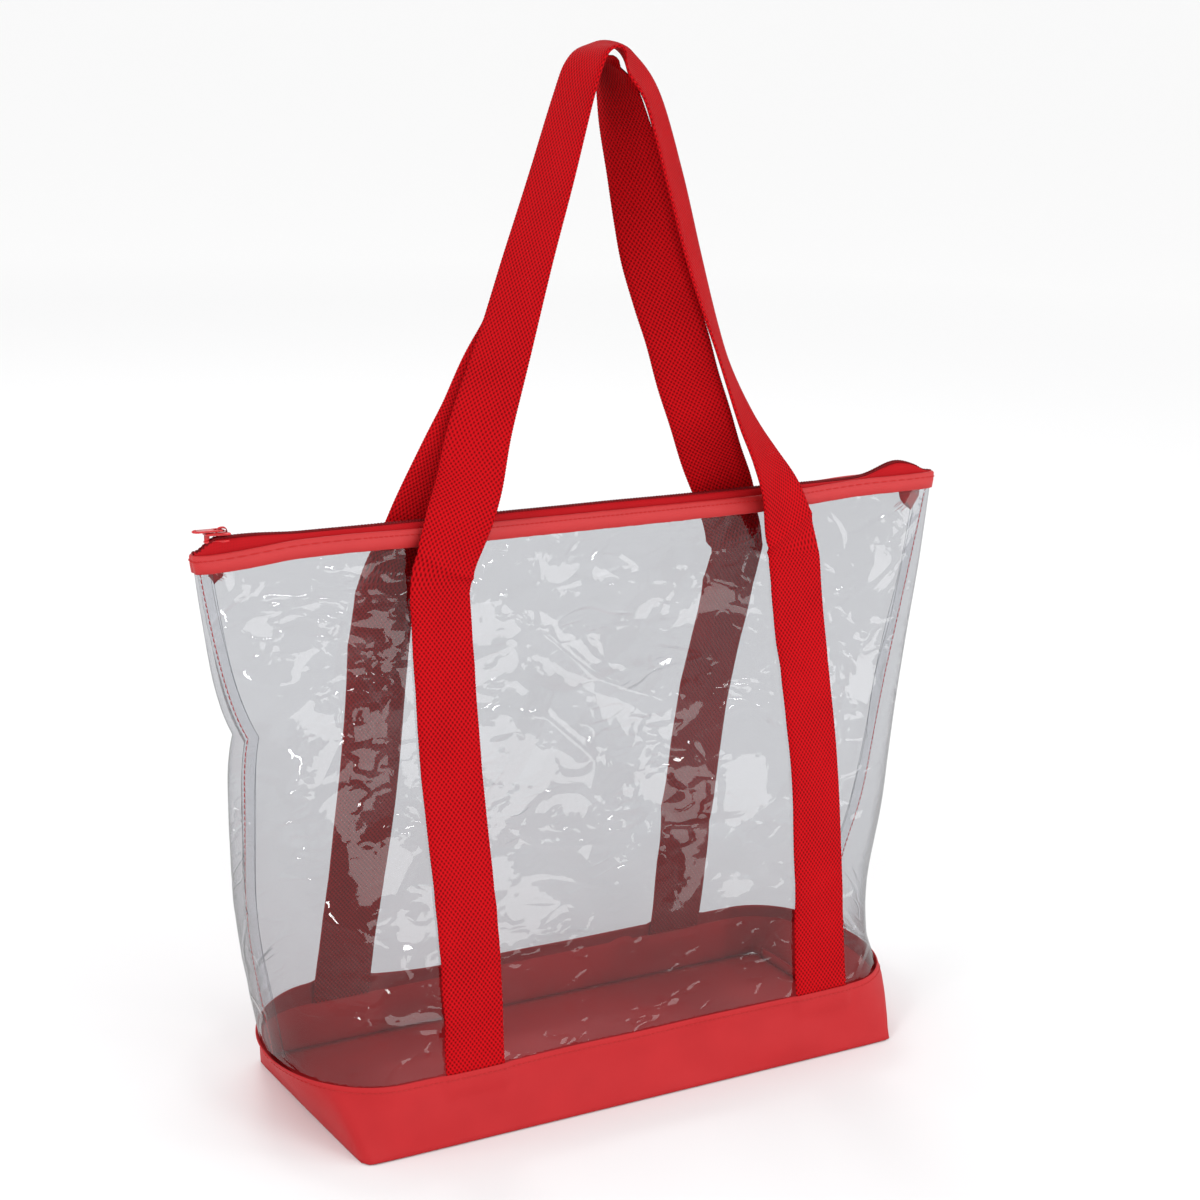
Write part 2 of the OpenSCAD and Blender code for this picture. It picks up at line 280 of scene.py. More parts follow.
def skin(s, z, side, off=0.0):
    """A point of the creased vinyl, off metres out from it."""
    return shell(s, z, side) + outward(s, z, side) * (relief(s, z, side) + off)


# ---------------------------------------------------------------- mesh helpers
def finish_piece(obj, material, nodes=()):
    """Gives a piece its material and hides the CAD nodes that it stands for."""
    obj.data.materials.append(material)
    if nodes:
        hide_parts(*nodes)
    return obj


def mesh_object(name, verts, faces, uvs=None):
    """A smooth-shaded object, with one UV place for each vertex where uvs is given."""
    mesh = bpy.data.meshes.new(name)
    mesh.from_pydata([tuple(v) for v in verts], [], faces)
    if uvs:
        layer = mesh.uv_layers.new(name="UVMap")
        for loop in mesh.loops:
            layer.data[loop.index].uv = uvs[loop.vertex_index]
    mesh.shade_smooth()
    obj = bpy.data.objects.new(name, mesh)
    bpy.context.collection.objects.link(obj)
    return obj


def running_length(points):
    """The distance along the points up to each of them."""
    total, out = 0.0, [0.0]
    for a, b in zip(points, points[1:]):
        total += (b - a).length
        out.append(total)
    return out


def grid(name, rows, wrap=False, caps=False):
    """Quads between rows of points. wrap closes each row; caps fills the first and last one."""
    cols = len(rows[0])
    middle = len(rows) // 2
    us = running_length(rows[middle])
    vs = running_length([row[cols // 2] for row in rows])
    verts = [p for row in rows for p in row]
    uvs = [(u, v) for v in vs for u in us]
    faces = []
    for i in range(len(rows) - 1):
        for j in range(cols if wrap else cols - 1):
            k = (j + 1) % cols
            faces.append((i * cols + j, i * cols + k, (i + 1) * cols + k, (i + 1) * cols + j))
    if caps:
        faces.append(tuple(range(cols))[::-1])
        faces.append(tuple((len(rows) - 1) * cols + j for j in range(cols)))
    return mesh_object(name, verts, faces, uvs)


def steps(low, high, size):
    """Even values from low to high, about size apart."""
    count = max(1, round((high - low) / size))
    return [low + (high - low) * i / count for i in range(count + 1)]


def tube_rings(points, radius, sides=6):
    """Rings round a path; radius is a number or a function of the ring's index."""
    rings = []
    normal = None
    for i, p in enumerate(points):
        ahead = points[min(i + 1, len(points) - 1)] - points[max(i - 1, 0)]
        ahead.normalize()
        if normal is None:
            normal = ahead.orthogonal()
        normal = (normal - ahead * normal.dot(ahead)).normalized()
        other = ahead.cross(normal)
        r = radius(i) if callable(radius) else radius
        rings.append([p + (normal * math.cos(a) + other * math.sin(a)) * r
                      for a in (2 * math.pi * k / sides for k in range(sides))])
    return rings


def thread_mesh(name, lines, radius, sides=6):
    """Many short threads in one mesh, each a rounded tube through its own points."""
    verts, faces = [], []
    for line in lines:
        last = len(line) - 1
        rings = tube_rings(line, lambda i: radius * (0.35 if i in (0, last) else 1), sides)
        start = len(verts)
        verts += [p for ring in rings for p in ring]
        for i in range(last):
            for j in range(sides):
                k = (j + 1) % sides
                faces.append((start + i * sides + j, start + i * sides + k,
                              start + (i + 1) * sides + k, start + (i + 1) * sides + j))
        faces.append(tuple(start + j for j in range(sides))[::-1])
        faces.append(tuple(start + last * sides + j for j in range(sides)))
    return mesh_object(name, verts, faces)


def stitches(name, point_at, length, pitch=3.2 * MM, radius=0.28 * MM):
    """A sewn line: point_at(t, lift) for t in metres along it, lifted off the cloth."""
    lines = []
    for k in range(int(length / pitch)):
        t = k * pitch
        stops = (0.08, 0.25, 0.5, 0.75, 0.92)
        lifts = (-0.3, 0.7, 1.0, 0.7, -0.3)
        lines.append([point_at(t + a * pitch, radius * b) for a, b in zip(stops, lifts)])
    return thread_mesh(name, lines, radius)


def bmesh_object(name, bm):
    """A smooth-shaded object from bm, which it uses up."""
    bmesh.ops.recalc_face_normals(bm, faces=bm.faces)
    mesh = bpy.data.meshes.new(name)
    bm.to_mesh(mesh)
    bm.free()
    mesh.shade_smooth()
    obj = bpy.data.objects.new(name, mesh)
    bpy.context.collection.objects.link(obj)
    mesh.uv_layers.new(name="UVMap")
    return obj


def join(target, parts):
    """Adds the meshes of parts to target."""
    bm = bmesh.new()
    bm.from_mesh(target.data)
    for part in parts:
        bm.from_mesh(part.data)
        mesh = part.data
        bpy.data.objects.remove(part)
        bpy.data.meshes.remove(mesh)
    bm.to_mesh(target.data)
    bm.free()


# ---------------------------------------------------------------- materials
def shader(name):
    """A new material, with its node tree and its main shader."""
    material = bpy.data.materials.new(name)
    material.use_nodes = True
    tree = material.node_tree
    return material, tree, tree.nodes["Principled BSDF"]


def add(tree, kind, links=(), **values):
    """A node with its properties or sockets set, and links as (socket, output) pairs."""
    item = tree.nodes.new(kind)
    for key, value in values.items():
        if hasattr(item, key):
            setattr(item, key, value)
        else:
            item.inputs[key].default_value = value
    for socket, output in links:
        tree.links.new(output, item.inputs[socket])
    return item


def math_node(tree, operation, *values, clamp=False):
    """The result of an operation; each value is a number or another node's output."""
    item = add(tree, "ShaderNodeMath", operation=operation, use_clamp=clamp)
    for k, value in enumerate(values):
        if isinstance(value, (int, float)):
            item.inputs[k].default_value = value
        else:
            tree.links.new(value, item.inputs[k])
    return item.outputs[0]


def ramp_node(tree, factor, stops):
    """The colour for a factor, between (place, colour) stops."""
    item = add(tree, "ShaderNodeValToRGB", [("Fac", factor)])
    elements = item.color_ramp.elements
    elements[0].position, elements[0].color = stops[0][0], (*stops[0][1], 1)
    elements[1].position, elements[1].color = stops[-1][0], (*stops[-1][1], 1)
    for place, colour in stops[1:-1]:
        elements.new(place).color = (*colour, 1)
    return item.outputs["Color"]


def bumped(tree, height, strength, distance):
    """The surface's direction, tilted by a height in units of distance."""
    item = add(tree, "ShaderNodeBump", [("Height", height)], Strength=strength, Distance=distance)
    return item.outputs[0]


def cloth(name, dark, light, pitch, depth, roughness, gloss, blotch=0.12):
    """Woven cloth: a raised cell for each crossing of yarns, in staggered rows, with uneven dye, painted
    shade in the gaps and a painted highlight on the cells' tops.
    """
    material, tree, bsdf = shader(name)
    uv = add(tree, "ShaderNodeUVMap", uv_map="UVMap")
    turns = [2 * math.pi / size for size in (*pitch, 1)]
    scaled = add(tree, "ShaderNodeMapping", [("Vector", uv.outputs[0])], Scale=turns)
    parts = add(tree, "ShaderNodeSeparateXYZ", [(0, scaled.outputs[0])])
    cell = math_node(tree, "MULTIPLY", *[math_node(tree, "SINE", parts.outputs[k]) for k in (0, 1)])
    height = math_node(tree, "MULTIPLY_ADD", cell, 0.5, 0.5)
    place = add(tree, "ShaderNodeTexCoord").outputs["Object"]
    patches = add(tree, "ShaderNodeTexNoise", [("Vector", place)], Scale=38.0, Detail=4.0)
    mixed = math_node(tree, "MULTIPLY_ADD", patches.outputs["Fac"], 2 * blotch, height)
    # painted highlight: the cells' tops take a colour lighter than light; painted shade: the gaps between
    # cells take the dark colour
    crest_highlight = [min(c * 1.12, 1) for c in light]
    colour = ramp_node(tree, mixed, [(0.10 + blotch, dark), (0.55 + blotch, light), (1.0, crest_highlight)])
    tree.links.new(colour, bsdf.inputs["Base Color"])
    tree.links.new(bumped(tree, height, 0.8, depth), bsdf.inputs["Normal"])
    bsdf.inputs["Roughness"].default_value = roughness
    bsdf.inputs["Specular IOR Level"].default_value = gloss
    return material


def smooth_coat(name, colour, roughness, shine, grain):
    """Enamel or moulded plastic with a faint orange-peel surface."""
    material, tree, bsdf = shader(name)
    place = add(tree, "ShaderNodeTexCoord").outputs["Object"]
    spots = add(tree, "ShaderNodeTexNoise", [("Vector", place)], Scale=grain).outputs["Fac"]
    dark = [c * 0.75 for c in colour]
    light = [min(1, c * 1.15) for c in colour]
    tree.links.new(ramp_node(tree, spots, [(0.3, dark), (0.7, light)]), bsdf.inputs["Base Color"])
    tree.links.new(bumped(tree, spots, 0.3, 0.1 * MM), bsdf.inputs["Normal"])
    bsdf.inputs["Roughness"].default_value = roughness
    bsdf.inputs["Specular IOR Level"].default_value = shine
    return material


def crests(tree, place, size, sharpness, turn):
    """Narrow ridges along winding lines, broken up into short stretches."""
    turned = add(tree, "ShaderNodeMapping", [("Vector", place)], Rotation=(0, turn, 0), Scale=(1, 1, 1.8))
    field = add(tree, "ShaderNodeTexNoise", [("Vector", turned.outputs[0])], Scale=size, Detail=1.0)
    off_line = math_node(tree, "ABSOLUTE", math_node(tree, "SUBTRACT", field.outputs["Fac"], 0.5))
    line = math_node(tree, "MULTIPLY_ADD", off_line, -sharpness, 1.0, clamp=True)
    patch = add(tree, "ShaderNodeTexNoise", [("Vector", place)], Scale=size * 0.8, Detail=0.0)
    stretch = math_node(tree, "MULTIPLY_ADD", patch.outputs["Fac"], 9.0, -4.4, clamp=True)
    return math_node(tree, "MULTIPLY", line, stretch)


def mix_shaders(tree, share, first, second):
    """A mix of two shaders' nodes: share of the second one."""
    links = [(0, share), (1, first.outputs[0]), (2, second.outputs[0])]
    return add(tree, "ShaderNodeMixShader", links)


# Two nets of crests in the vinyl: fineness, sharpness, turn and height.
VINYL_CRESTS = [(15.0, 26.0, 0.6, 2.4), (42.0, 16.0, -0.5, 1.1)]


def clear_sheet(name, through, gloss, roughness, creased=True):
    """Clear vinyl: what is behind shows through a cool grey tint, under a creased gloss.

    Light that falls through on the way to what is inside isn't tinted."""
    material, tree, bsdf = shader(name)
    tree.nodes.remove(bsdf)
    place = add(tree, "ShaderNodeTexCoord").outputs["Object"]
    height = add(tree, "ShaderNodeTexNoise", [("Vector", place)], Scale=60.0, Detail=2.0).outputs["Fac"]
    for size, sharpness, turn, share in VINYL_CRESTS if creased else ():
        height = math_node(tree, "MULTIPLY_ADD", crests(tree, place, size, sharpness, turn), share, height)
    bump = bumped(tree, height, 0.6, 0.6 * MM)
    facing = add(tree, "ShaderNodeLayerWeight", [("Normal", bump)]).outputs["Facing"]
    steep, edge_on = ([c * share for c in through] for share in (0.97, 0.45))
    tint = ramp_node(tree, facing, [(0.0, through), (0.55, steep), (1.0, edge_on)])
    clear = add(tree, "ShaderNodeBsdfTransparent", [("Color", tint)])
    shine = add(tree, "ShaderNodeBsdfGlossy", [("Normal", bump)], Roughness=roughness)
    shine_share = math_node(tree, "MULTIPLY_ADD", math_node(tree, "POWER", facing, 4.0), 0.6, gloss)
    sheet = mix_shaders(tree, shine_share, clear, shine)
    shadow = add(tree, "ShaderNodeLightPath").outputs["Is Shadow Ray"]
    unfiltered = add(tree, "ShaderNodeBsdfTransparent", Color=(0.95, 0.95, 0.95, 1))
    mix = mix_shaders(tree, shadow, sheet, unfiltered)
    tree.links.new(mix.outputs[0], tree.nodes["Material Output"].inputs["Surface"])
    return material


VINYL_CLEAR = clear_sheet("clear_vinyl", (0.75, 0.755, 0.77), 0.045, 0.035)
VINYL_SEAM = clear_sheet("doubled_vinyl", (0.93, 0.935, 0.945), 0.04, 0.10, creased=False)
VINYL_EDGE = clear_sheet("vinyl_cut_edge", (0.62, 0.63, 0.65), 0.08, 0.15, creased=False)
# Cloths: dark colour (painted shade in the weave's gaps) and light colour, size of the weave, its depth,
# roughness and gloss.
WEBBING = cloth("webbing", (0.14, 0.001, 0.002), (0.45, 0.003, 0.006),
                (2.7 * MM, 3.4 * MM), 0.5 * MM, 0.75, 0.05)
BASE_CLOTH = cloth("base_cloth", (0.36, 0.010, 0.013), (0.42, 0.015, 0.018),
                   (0.8 * MM, 0.8 * MM), 0.06 * MM, 0.55, 0.18, blotch=0.3)
BINDING_CLOTH = cloth("binding_cloth", (0.36, 0.011, 0.012), (0.48, 0.020, 0.022),
                      (1.0 * MM, 1.0 * MM), 0.12 * MM, 0.5, 0.35)
TAPE_CLOTH = cloth("zip_tape_cloth", (0.26, 0.002, 0.004), (0.42, 0.006, 0.010),
                   (1.2 * MM, 0.9 * MM), 0.12 * MM, 0.7, 0.1)
THREAD = cloth("thread", (0.30, 0.005, 0.008), (0.50, 0.02, 0.02),
               (0.5 * MM, 0.5 * MM), 0.05 * MM, 0.6, 0.1)
HEM_THREAD = cloth("hem_thread", (0.30, 0.010, 0.012), (0.44, 0.03, 0.03),
                   (0.5 * MM, 0.5 * MM), 0.05 * MM, 0.6, 0.1)
COIL_PLASTIC = smooth_coat("coil_plastic", (0.14, 0.002, 0.004), 0.6, 0.1, 900.0)
ENAMEL = smooth_coat("slider_enamel", (0.50, 0.008, 0.012), 0.28, 0.4, 350.0)


# ---------------------------------------------------------------- layers along the mouth
def halves_of(side):
    """The two pieces of each layer: name and range of s."""
    split = s_at(SPLIT[side])
    return [("left", -1.0, split), ("right", split, 1.0)]


def layer_nodes(side, stem, part):
    """The CAD nodes that a piece of a layer stands for; the front one also stands for the end."""
    middle = [f"{side}_{stem}"] if part == "right" else []
    return middle + ([f"{stem}_{part}_end"] if side == "front" else [])


def bend_with_mouth(obj, part):
    """Bakes the piece's placement into its mesh; the left piece and the right one are treated alike."""
    if part == "left":
        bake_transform(obj)
    else:
        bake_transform(obj)


VINYL_CELL = 2.2 * MM


def vinyl(side):
    """The clear sheet of one face, sewn behind the base band and the binding."""
    sign = HALVES[side]
    for part, low, high in halves_of(side):
        columns = steps(low, high, VINYL_CELL / REACH)
        heights = steps(BAND_TOP - 8 * MM, BODY_TOP - 1 * MM, VINYL_CELL)
        obj = grid(f"{side}_vinyl_{part}", [[skin(s, z, sign) for s in columns] for z in heights])
        nodes = [f"wing_{side}_{part}"] + ([f"{side}_panel"] if part == "right" else [])
        finish_piece(obj, VINYL_CLEAR, nodes)
        bend_with_mouth(obj, part)


def swept_layer(side, stem, profile_at, material):
    """A thin band sewn along the top edge; profile_at(s) lists (offset, height) pairs."""
    sign = HALVES[side]
    for part, low, high in halves_of(side):
        rows = [[skin(s, z, sign, off) for off, z in profile_at(s)]
                for s in steps(low, high, 3 * MM / REACH)]
        obj = grid(f"{side}_{stem}_{part}", rows, wrap=True, caps=True)
        finish_piece(obj, material, layer_nodes(side, stem, part))
        bend_with_mouth(obj, part)


def binding_profile(s):
    """Folded canvas over the top edge of the vinyl, seen from its cut end."""
    sag = 0.25 * MM * wave(s * 60, 1.7)
    low, top = BINDING_LOW + 1.5 * MM + sag, BODY_TOP + sag * 0.5
    out = VINYL + 1.0 * MM
    outer = [(VINYL, low), (out, low + 0.2 * MM), (out + 0.25 * MM, (low + top) / 2),
             (out, top - 0.8 * MM), (out - 0.6 * MM, top)]
    inner = [(-0.6 * MM, top), (-1.2 * MM, top - 0.8 * MM), (-1.1 * MM, low + 2 * MM),
             (-0.3 * MM, low + 1.8 * MM), (-0.2 * MM, top - 1.2 * MM)]
    return outer + inner + [(VINYL - 0.1 * MM, top - 1.2 * MM)]


def zip_rise(x):
    """Height of the coil above the binding's top edge: level, with a hump and two dropped ends."""
    reach = half_width(BODY_TOP, -1 if x < 0 else 1)
    ends = ramp(abs(x), reach - 14 * MM, reach - 1 * MM)
    hump = 8 * MM * bell((x - 0.219) / 0.019)
    slack = 1.6 * MM * ramp(x, -0.225, -0.190) + 0.5 * MM * wave(x * 14, 4.2)
    return (COIL_Z - BODY_TOP - top_lift(x) + hump - slack) * (1 - 0.85 * ends)


def tape_profile(s):
    """The zip tape, from inside the binding up and in to the coil."""
    edge = shell(s, BODY_TOP, -1)
    rise = zip_rise(edge.x)
    gap = min(MOUTH, abs(edge.y))
    lean = [(-0.2, -8.0 * MM), (-0.25, 0.0), (-0.28, rise * 0.45), (-0.36, rise * 0.8),
            (-0.5, rise + 0.3 * MM)]
    outer = [(gap * share, BODY_TOP + up) for share, up in lean]
    inner = [(gap * share - 0.6 * MM, BODY_TOP + up) for share, up in lean]
    return outer + inner[::-1]


def zip_coil(side):
    """One spiral of coil teeth along the top of its tape."""
    sign = HALVES[side]
    pitch, radius = 2.0 * MM, 0.9 * MM
    for part, low, high in halves_of(side):
        path = []
        for s in steps(max(low, -0.965), min(high, 0.955), 0.34 * MM / REACH):
            edge = shell(s, BODY_TOP, sign)
            inset = min(1.2 * MM, abs(edge.y) * 0.3 + 0.1 * MM)
            path.append(Vector((edge.x, sign * inset, edge.z + zip_rise(edge.x) - 0.2 * MM)))
        phase = 0 if sign < 0 else math.pi

        def tooth(i):
            return radius * (0.80 + 0.20 * math.cos(2 * math.pi * path[i].x / pitch + phase))

        obj = grid(f"{side}_zip_coil_{part}", tube_rings(path, tooth, sides=8), wrap=True, caps=True)
        finish_piece(obj, COIL_PLASTIC, layer_nodes(side, "zip_coil", part))
        bend_with_mouth(obj, part)


def binding_stitches(side):
    """The sewn line along the binding, under its top edge."""
    sign = HALVES[side]
    for part, low, high in halves_of(side):
        length = (high - low) * REACH

        def point_at(t, lift, low=low):
            s = min(low + t / REACH, 0.999)
            return skin(s, BODY_TOP - 3.0 * MM, sign, VINYL + 1.15 * MM + lift)

        obj = stitches(f"{side}_binding_stitches_{part}", point_at, length)
        finish_piece(obj, THREAD)
        bend_with_mouth(obj, part)


# ---------------------------------------------------------------- the boxed base
def strap_bump(x, z, side):
    """The band stands out where a strap's end is sewn in behind it."""
    near = max(ramp(STRAP_W / 2 + 3 * MM - abs(x - leg), 0, 4 * MM)
               for leg in LEGS["front" if side < 0 else "back"])
    return STRAP_T * near * ramp(z, BAND_TOP - 16 * MM, BAND_TOP - 9 * MM)


def band_point(s, z, side, off):
    """A point of the band's cloth, which is slack between its hems and rides up at the back left."""
    x = s * REACH
    slack = 2.6 * MM * wave(x * 14 + z * 9, z * 20, side * 4) + 0.8 * MM * wave(x * 40, z * 45, side * 9)
    slack *= ramp(z, 0, 12 * MM) * ramp(BAND_TOP + 2 * MM - z, 0, 10 * MM)
    lip = 0.35 * MM * ramp(z, BAND_TOP - 8 * MM, BAND_TOP - 6.5 * MM)
    ride_up = 6 * MM * bell((x + 0.150) / 0.050) * ramp(z, 15 * MM, BAND_TOP) if side > 0 else 0
    ripple = 1.2 * MM * wave(x * 13, side * 6) * ramp(z, 20 * MM, BAND_TOP)
    face = outward(s, max(z, 1.1 * MM), side) * (off + slack + lip + strap_bump(x, z, side) + VINYL)
    return shell(s, z, side) + face + Vector((0, 0, ride_up + ripple))


def around(step):
    """s and side all the way round the bag, once."""
    ahead = steps(-1.0, 1.0, step / REACH)
    return [(s, -1) for s in ahead[:-1]] + [(s, 1) for s in reversed(ahead[1:])]


def base_band():
    """One ring of cloth with a turned hem along its top edge."""
    low, thick = 0.4 * MM, 1.0 * MM
    profile = [(thick * 0.3, 0.0), (thick, low)]
    profile += [(thick, z) for z in steps(3 * MM, BAND_TOP - 1 * MM, 3 * MM)]
    profile += [(thick * 0.9, BAND_TOP - 0.2 * MM), (thick * 0.5, BAND_TOP + 0.1 * MM),
                (0.1 * MM, BAND_TOP - 0.2 * MM)]
    profile += [(0.0, z) for z in steps(3 * MM, BAND_TOP - 2 * MM, 4 * MM)[::-1]] + [(0.0, low)]
    rows = [[band_point(s, z, side, off) for off, z in profile] for s, side in around(3 * MM)]
    rows.append(rows[0])
    obj = grid("base_band", rows, wrap=True)
    finish_piece(obj, BASE_CLOTH, ["base_band_front", "base_band_back"])
    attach(obj, "bag")


def hem_stitches():
    """The sewn line round the base band, under its top edge."""
    trail = around(2 * MM)
    path = [band_point(s, BAND_TOP - 3.2 * MM, side, 1.0 * MM) for s, side in trail]
    facing = [outward(s, BAND_TOP, side) for s, side in trail]
    path.append(path[0])
    facing.append(facing[0])
    lengths = running_length(path)

    def point_at(t, lift):
        i = next((k for k, d in enumerate(lengths) if d > t), len(path) - 1)
        share = (t - lengths[i - 1]) / max(lengths[i] - lengths[i - 1], 1e-9)
        return path[i - 1].lerp(path[i], share) + facing[i] * lift

    obj = stitches("base_hem_stitches", point_at, lengths[-1], pitch=3.4 * MM, radius=0.25 * MM)
    finish_piece(obj, HEM_THREAD)
    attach(obj, "bag")


def base_floor():
    """The bottom cloth, a little uneven, with its cut edges inside the band."""
    rows = []
    for s in steps(-0.985, 0.985, 6 * MM / REACH):
        front = shell(s, 0, -1)
        back = shell(s, 0, 1)
        row = []
        for share in steps(0, 1, 0.04):
            p = front.lerp(back, share)
            inside = ramp(min(share, 1 - share), 0, 0.1) * ramp(1 - abs(s), 0.015, 0.1)
            height = (0.9 + 0.9 * inside * (1 + wave(p.x * 20, p.y * 20))) * MM
            row.append(p + Vector((0, 0, height)))
        rows.append(row + [p - Vector((0, 0, 0.7 * MM)) for p in reversed(row)])
    obj = grid("base_floor_cloth", rows, wrap=True, caps=True)
    finish_piece(obj, BASE_CLOTH, ["base_floor"])
    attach(obj, "bag")


def boxed_corner(end):
    """The raw seam allowance that stands up inside each end of the base."""
    name = END_NAMES[end]
    thick = 0.9 * MM
    profile = [(0, 0), (0.5, 0), (1, 0), (1, thick), (0.5, thick), (0, thick)]
    x = end * (BASE_X - 3 * MM)
    rows = []
    for y in steps(-BASE_Y + 12 * MM, BASE_Y - 12 * MM, 4 * MM):
        lean = 1.2 * MM * wave(y * 30, end)
        rows.append([Vector((x - end * (lean * up + gap), y, (2.2 + 7 * up) * MM))
                     for up, gap in profile])
    obj = grid(f"boxed_corner_{name}", rows, wrap=True, caps=True)
    finish_piece(obj, BASE_CLOTH, [f"corner_seam_{name}"])
    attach(obj, "bag")


# ---------------------------------------------------------------- side seams
def seam_depth(z):
    """Width of the allowance, trimmed a little unevenly."""
    return 7.6 * MM + 1.2 * MM * wave(z * 12, 7.7)


def seam_point(end, z, depth, y):
    """A point of an allowance, depth in from the seam; its free edge curls a little."""
    edge = shell(end, z, -1)
    curl = wave(z * 22, end * 3 + y * 900) * (depth / (8 * MM)) ** 2
    return Vector((edge.x - end * (0.3 * MM + depth), y + 3.0 * MM * curl, edge.z))


SEAM_HEIGHTS = steps(BAND_TOP - 6 * MM, BINDING_LOW + 3 * MM, 4 * MM)
ALLOWANCES = (-0.6 * MM, 0.6 * MM)                          # y of the two sheets


def side_seam(end):
    """The two allowances, turned in, and their cut edges."""
    name = END_NAMES[end]
    sheets = []
    for y in ALLOWANCES:
        rows = [[seam_point(end, z, depth, y) for depth in steps(0, seam_depth(z), 2.7 * MM)]
                for z in SEAM_HEIGHTS]
        sheets.append(grid(f"allowance_{name}", rows))
    allowances = sheets[0]
    join(allowances, sheets[1:])
    finish_piece(allowances, VINYL_SEAM, [f"side_seam_{name}"])
    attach(allowances, "bag")

    lines = [[seam_point(end, z, seam_depth(z), y) for z in SEAM_HEIGHTS] for y in ALLOWANCES]
    edges = thread_mesh(f"side_seam_edges_{name}", lines, 0.16 * MM, 4)
    finish_piece(edges, VINYL_EDGE)
    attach(edges, "bag")


def seam_stitches(end):
    """The line of red stitches down a side seam."""
    low, high = SEAM_HEIGHTS[0] + 6 * MM, SEAM_HEIGHTS[-1]

    def point_at(t, lift):
        return seam_point(end, min(low + t, high), 1.4 * MM, 0) + Vector((end * lift, -0.8 * MM, 0))

    thread = stitches(f"side_seam_stitches_{END_NAMES[end]}", point_at, high - low, 3.4 * MM, 0.32 * MM)
    finish_piece(thread, THREAD)
    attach(thread, "bag")


# ---------------------------------------------------------------- webbing handles
# Stations of each handle above its legs, as in the CAD: x, y, z in millimetres, turn in degrees.
STATIONS = {
    "front": [
        (-110, -15.3, 325, -4), (-102, -15.3, 348, -14), (-92, -10, 370, -30), (-82, -4, 402, -46),
        (-67, -3, 449, -63), (-53.5, -3, 496, -72), (-39.5, -2, 540, -78), (-26.5, -1.5, 584, -84),
        (-20, -2, 603, -87), (-12.5, -2.5, 612, -97), (-2, -3.2, 613, -116), (8.5, -4.6, 604, -135),
        (24, -5.2, 584, -135), (40, -6.2, 540, -136), (57, -4.8, 492, -134), (78.5, 0, 444, -128),
        (88.5, 0, 420, -129), (99, -4, 395, -136), (109.5, -11, 372, -146), (120.5, -15.3, 348, -162),
        (128, -15.3, 322, -175)],
    "back": [
        (-120, 15.3, 328, 0), (-109, 15.5, 351, 0), (-91, 17, 383, 1), (-78.5, 18.5, 404, 3),
        (-66.5, 20.5, 428, 7), (-54.5, 22, 449, 12), (-45, 21.5, 474, 20), (-36.5, 19, 496, 30),
        (-29, 16.5, 518, 38), (-22, 14, 540, 44), (-16, 12, 562, 49), (-8.5, 11.5, 591, 54),
        (-1.5, 11.3, 605.2, 70), (8, 11.6, 594, 93), (15.8, 10.9, 568, 111), (23.5, 9.2, 541, 124),
        (29.2, 7.3, 515, 132), (34.8, 5.4, 491, 138), (44.2, 5.6, 467, 142), (54, 5.8, 444, 145),
        (63.5, 7, 419, 149), (74, 8, 395, 152), (86, 12, 370, 158), (99, 14.5, 345, 168),
        (107, 15.3, 322, 177)],
}


def spline(points, per_stretch):
    """Catmull-Rom through 4-vectors."""
    out = []
    last = len(points) - 1
    for i in range(last):
        a, b, c, d = (points[min(max(k, 0), last)] for k in (i - 1, i, i + 1, i + 2))
        for n in range(per_stretch):
            t = n / per_stretch
            out.append(0.5 * (2 * b + (c - a) * t + (2 * a - 5 * b + 4 * c - d) * t * t
                              + (3 * b - a - 3 * c + d) * t ** 3))
    return out + [points[last]]


def resample(path, step):
    """Points an even step apart along a list of 4-vectors."""
    places = running_length([p.to_3d() for p in path])
    out, k = [], 0
    for target in steps(0, places[-1], step):
        while k < len(places) - 2 and places[k + 1] < target:
            k += 1
        share = (target - places[k]) / max(places[k + 1] - places[k], 1e-9)
        out.append(path[k].lerp(path[k + 1], min(max(share, 0), 1)))
    return out


ACROSS = 9          # points across each face of the webbing
RIB = 0.85 * MM     # rows are this far apart, so that the selvedge can be ribbed


def strap_section(face_at, row):
    """Closed section: face_at(across, out) with across in metres and out -1, 0 or 1."""
    width = STRAP_W / 2 + (0.16 * MM if row % 2 else -0.06 * MM)
    flat = width - 0.5 * MM
    spread = [flat * (2 * k / (ACROSS - 1) - 1) for k in range(ACROSS)]
    return ([face_at(a, 1) for a in spread] + [face_at(width, 0)]
            + [face_at(a, -1) for a in reversed(spread)] + [face_at(-width, 0)])


def leg_rows(side, x_mid, reverse):
    """Rows up a leg, or down it when reversed, following the face of the bag."""
    sign = HALVES[side]
    heights = steps(BAND_TOP - 9 * MM, LEG_TOP - 1 * MM, RIB)
    if reverse:
        heights.reverse()
    flip = -1 if reverse else 1
    rows = []
    for k, z in enumerate(heights):
        def face_at(across, out, z=z):
            off = VINYL + STRAP_T / 2 + sign * out * STRAP_T / 2 + 0.05 * MM
            return skin(s_at(x_mid + flip * across), z, sign, off)
        rows.append(strap_section(face_at, k))
    return rows


def loop_path(side):
    """Even steps over the top, from one leg to the other, as x, y, z and turn."""
    sign = HALVES[side]
    ends = [skin(s_at(x), LEG_TOP, sign, VINYL + STRAP_T / 2) for x in LEGS[side]]
    start, stop = (Vector((*end[:2], end.z + 1.5 * MM, turn))
                   for end, turn in zip(ends, (0, math.radians(180) * sign)))
    stations = [Vector((x * MM, y * MM, z * MM, math.radians(turn))) for x, y, z, turn in STATIONS[side]]
    return resample(spline([start, *stations, stop], 24), RIB)


